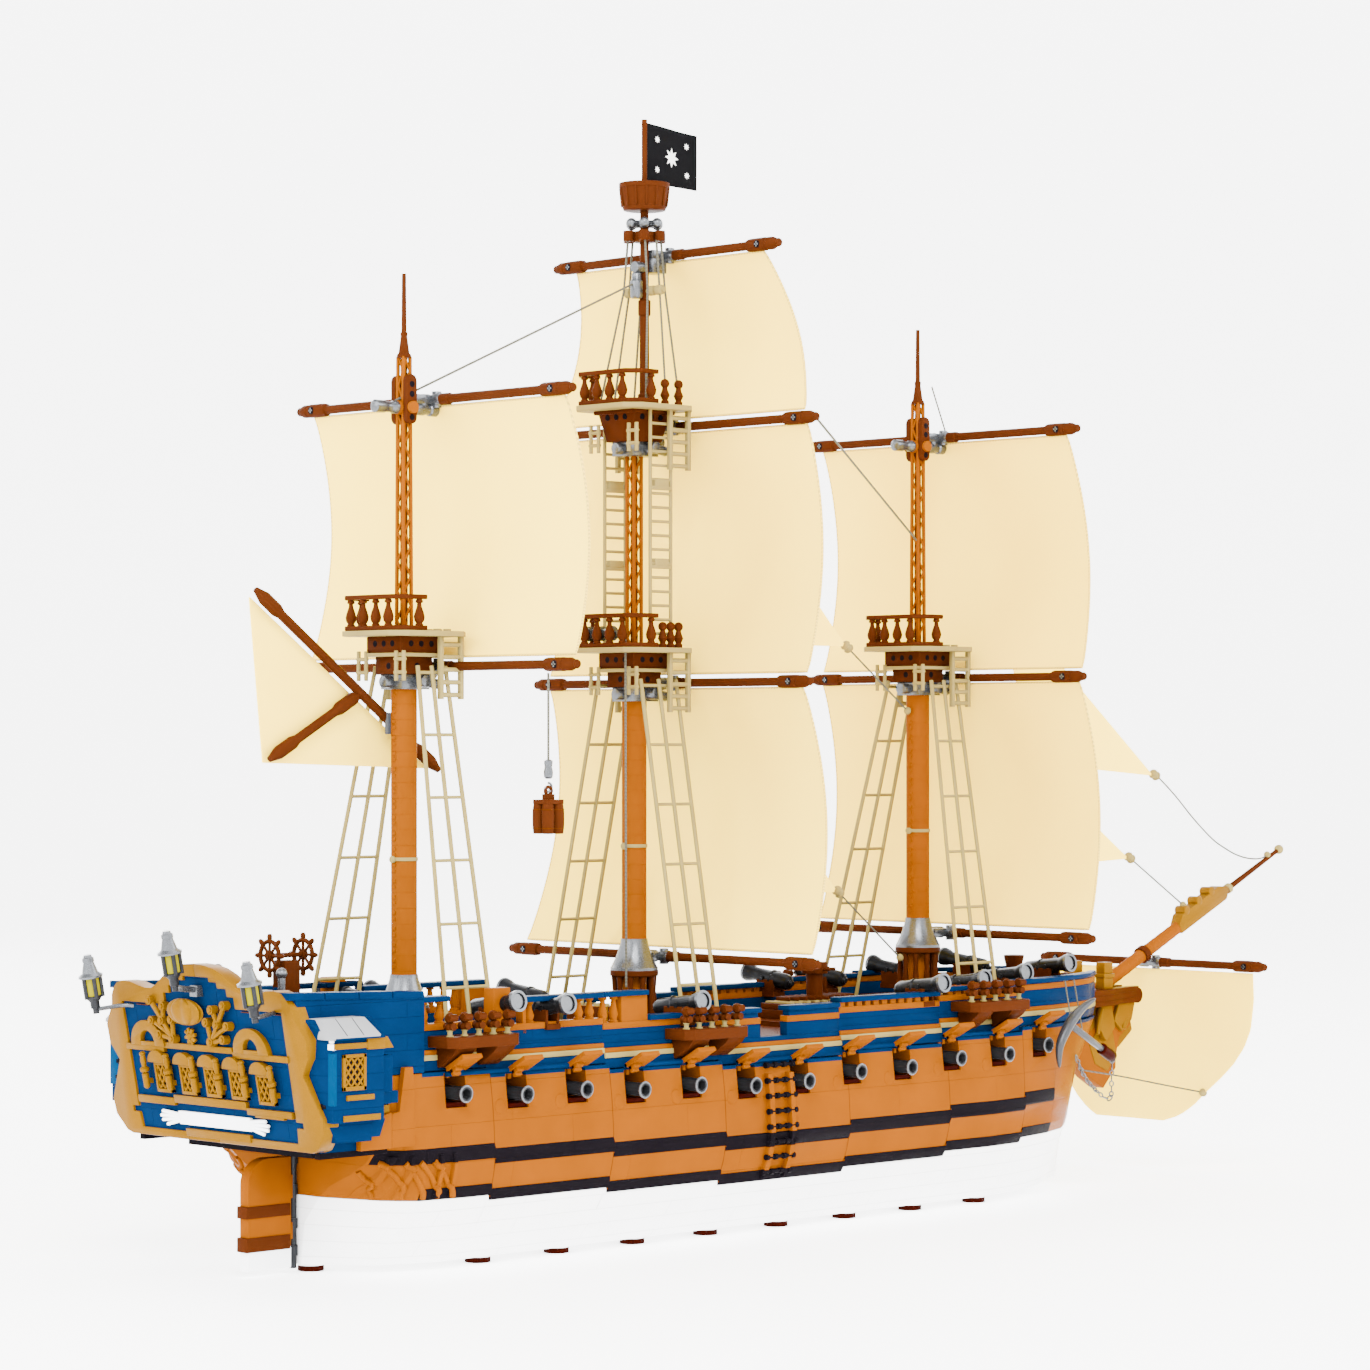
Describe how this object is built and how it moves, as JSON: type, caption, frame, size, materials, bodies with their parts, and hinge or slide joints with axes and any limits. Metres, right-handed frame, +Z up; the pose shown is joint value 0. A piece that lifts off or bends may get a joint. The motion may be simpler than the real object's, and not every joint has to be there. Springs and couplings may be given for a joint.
{
  "type": "toy tall ship",
  "caption": "Toy brick model of a three-masted tall ship with cloth sails, hinged port lids, a turning rudder, steering wheels and a carved-looking gold stern.",
  "frame": {"origin": "on the floor under the feet, at the middle of the overall length and of the breadth", "axes": "+X forward to the bow, +Y to port, +Z up"},
  "size_m": [1.041, 0.284, 0.71],
  "materials": {
    "white_plastic": "gloss moulded plastic",
    "orange_plastic": "gloss moulded plastic",
    "blue_plastic": "gloss moulded plastic",
    "gold_plastic": "pearl gold moulded plastic",
    "brown_plastic": "gloss moulded plastic",
    "tan_plastic": "gloss moulded plastic",
    "grey_plastic": "pearl dark grey moulded plastic",
    "cream_cloth": "printed woven cloth",
    "black_cloth": "printed woven cloth"
  },
  "bodies": {
    "ship": {"anchor_port": "grey_plastic", "anchor_starboard": "grey_plastic", "beakhead": "brown_plastic", "bowsprit": "orange_plastic", "bulwark": "blue_plastic", "flag": "black_cloth", "guns_port": "grey_plastic", "guns_starboard": "grey_plastic", "hull_bottom": "white_plastic", "hull_side": "orange_plastic", "lateen_spars": "brown_plastic", "mast_fore": "orange_plastic", "mast_main": "orange_plastic", "mast_mizzen": "orange_plastic", "sail_fore_course": "cream_cloth", "sail_fore_topsail": "cream_cloth", "sail_lateen": "cream_cloth", "sail_main_course": "cream_cloth", "sail_main_royal": "cream_cloth", "sail_main_topsail": "cream_cloth", "sail_mizzen_topsail": "cream_cloth", "sail_spritsail": "cream_cloth", "shrouds_fore_port": "tan_plastic", "shrouds_fore_starboard": "tan_plastic", "shrouds_main_port": "tan_plastic", "shrouds_main_starboard": "tan_plastic", "shrouds_mizzen_port": "tan_plastic", "shrouds_mizzen_starboard": "tan_plastic", "staysail_fore_lower": "cream_cloth", "staysail_fore_upper": "cream_cloth", "staysail_main_lower": "cream_cloth", "staysail_main_upper": "cream_cloth", "stern_castle": "blue_plastic", "topside_deck": "tan_plastic", "transom_frame": "gold_plastic", "yard_fore_boom": "brown_plastic", "yard_fore_course": "brown_plastic", "yard_fore_topsail": "brown_plastic", "yard_main_boom": "brown_plastic", "yard_main_course": "brown_plastic", "yard_main_royal": "brown_plastic", "yard_main_topsail": "brown_plastic", "yard_mizzen_crossjack": "brown_plastic", "yard_mizzen_topsail": "brown_plastic", "yard_spritsail": "brown_plastic"},
    "lids_starboard_1": {"port_lids_starboard_1": "orange_plastic"},
    "lids_starboard_2": {"port_lids_starboard_2": "orange_plastic"},
    "lids_starboard_3": {"port_lids_starboard_3": "orange_plastic"},
    "lids_starboard_4": {"port_lids_starboard_4": "orange_plastic"},
    "lids_starboard_5": {"port_lids_starboard_5": "orange_plastic"},
    "lids_starboard_6": {"port_lids_starboard_6": "orange_plastic"},
    "lids_port_1": {"port_lids_port_1": "orange_plastic"},
    "lids_port_2": {"port_lids_port_2": "orange_plastic"},
    "lids_port_3": {"port_lids_port_3": "orange_plastic"},
    "lids_port_4": {"port_lids_port_4": "orange_plastic"},
    "lids_port_5": {"port_lids_port_5": "orange_plastic"},
    "lids_port_6": {"port_lids_port_6": "orange_plastic"},
    "rudder": {"rudder": "orange_plastic"},
    "helm": {"helm": "brown_plastic"},
    "cargo_hoist": {"cargo_hoist": "brown_plastic"}
  },
  "joints": [
    {"name": "lids_starboard_1_hinge", "type": "hinge", "parent": "ship", "child": "lids_starboard_1", "pos_m": [-0.331, -0.0847, 0.1188], "axis": [1, 0, 0], "range_deg": [0, 50]},
    {"name": "lids_starboard_2_hinge", "type": "hinge", "parent": "ship", "child": "lids_starboard_2", "pos_m": [-0.211, -0.084, 0.1156], "axis": [1, 0, 0], "range_deg": [0, 50]},
    {"name": "lids_starboard_3_hinge", "type": "hinge", "parent": "ship", "child": "lids_starboard_3", "pos_m": [-0.115, -0.084, 0.1124], "axis": [1, 0, 0], "range_deg": [0, 50]},
    {"name": "lids_starboard_4_hinge", "type": "hinge", "parent": "ship", "child": "lids_starboard_4", "pos_m": [-0.019, -0.084, 0.1156], "axis": [1, 0, 0], "range_deg": [0, 50]},
    {"name": "lids_starboard_5_hinge", "type": "hinge", "parent": "ship", "child": "lids_starboard_5", "pos_m": [0.077, -0.084, 0.1188], "axis": [1, 0, 0], "range_deg": [0, 50]},
    {"name": "lids_starboard_6_hinge", "type": "hinge", "parent": "ship", "child": "lids_starboard_6", "pos_m": [0.149, -0.0803, 0.122], "axis": [1, 0, 0], "range_deg": [0, 50]},
    {"name": "lids_port_1_hinge", "type": "hinge", "parent": "ship", "child": "lids_port_1", "pos_m": [-0.331, 0.0847, 0.1188], "axis": [-1, 0, 0], "range_deg": [0, 50]},
    {"name": "lids_port_2_hinge", "type": "hinge", "parent": "ship", "child": "lids_port_2", "pos_m": [-0.211, 0.084, 0.1156], "axis": [-1, 0, 0], "range_deg": [0, 50]},
    {"name": "lids_port_3_hinge", "type": "hinge", "parent": "ship", "child": "lids_port_3", "pos_m": [-0.115, 0.084, 0.1124], "axis": [-1, 0, 0], "range_deg": [0, 50]},
    {"name": "lids_port_4_hinge", "type": "hinge", "parent": "ship", "child": "lids_port_4", "pos_m": [-0.019, 0.084, 0.1156], "axis": [-1, 0, 0], "range_deg": [0, 50]},
    {"name": "lids_port_5_hinge", "type": "hinge", "parent": "ship", "child": "lids_port_5", "pos_m": [0.077, 0.084, 0.1188], "axis": [-1, 0, 0], "range_deg": [0, 50]},
    {"name": "lids_port_6_hinge", "type": "hinge", "parent": "ship", "child": "lids_port_6", "pos_m": [0.149, 0.0803, 0.122], "axis": [-1, 0, 0], "range_deg": [0, 50]},
    {"name": "rudder_turn", "type": "hinge", "parent": "ship", "child": "rudder", "pos_m": [-0.4327, 0, 0.0036], "axis": [0, 0, 1], "range_deg": [-35, 35]},
    {"name": "helm_spin", "type": "hinge", "parent": "ship", "child": "helm", "pos_m": [-0.4375, 0, 0.187], "axis": [1, 0, 0], "continuous": true},
    {"name": "hoist_swing", "type": "hinge", "parent": "ship", "child": "cargo_hoist", "pos_m": [-0.324, -0.104, 0.353], "axis": [1, 0, 0], "range_deg": [-25, 25]}
  ]
}
